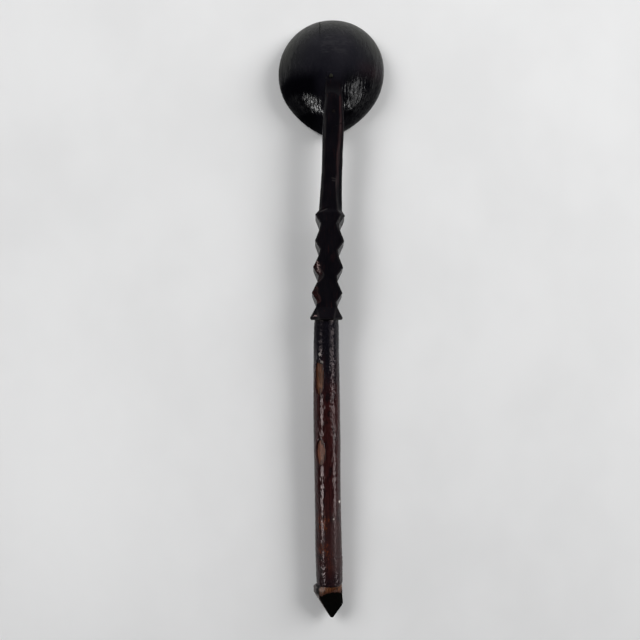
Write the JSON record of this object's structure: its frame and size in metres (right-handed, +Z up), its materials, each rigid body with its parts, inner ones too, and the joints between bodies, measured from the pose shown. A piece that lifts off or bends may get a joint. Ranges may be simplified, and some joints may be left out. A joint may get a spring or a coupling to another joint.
{
  "type": "ladle",
  "caption": "Long-handled carved ladle with a shell bowl, a toothed neck and a bark-covered grip that ends in a whittled point.",
  "frame": {"origin": "on the surface it lies on, under the middle of its length and width", "axes": "+Y along the handle from the point to the bowl, +X across, +Z up, with the bowl mouth down"},
  "size_m": [0.0804, 0.45, 0.0308],
  "materials": {
    "polished_shell": "black, polished, with fine fibres",
    "black_wood": "black-stained carved wood, rubbed on its edges",
    "red_bark": "glossy red-brown bark, blackened at the top",
    "bare_wood": "bare tan wood, charred at the point",
    "peg_wood": "dull dark wood"
  },
  "bodies": {
    "root": {"bowl": "polished_shell", "carved_neck": "black_wood", "bark_sleeve": "red_bark", "grip_core": "bare_wood", "bowl_peg_inner": "peg_wood", "bowl_peg_outer": "peg_wood"}
  },
  "joints": []
}
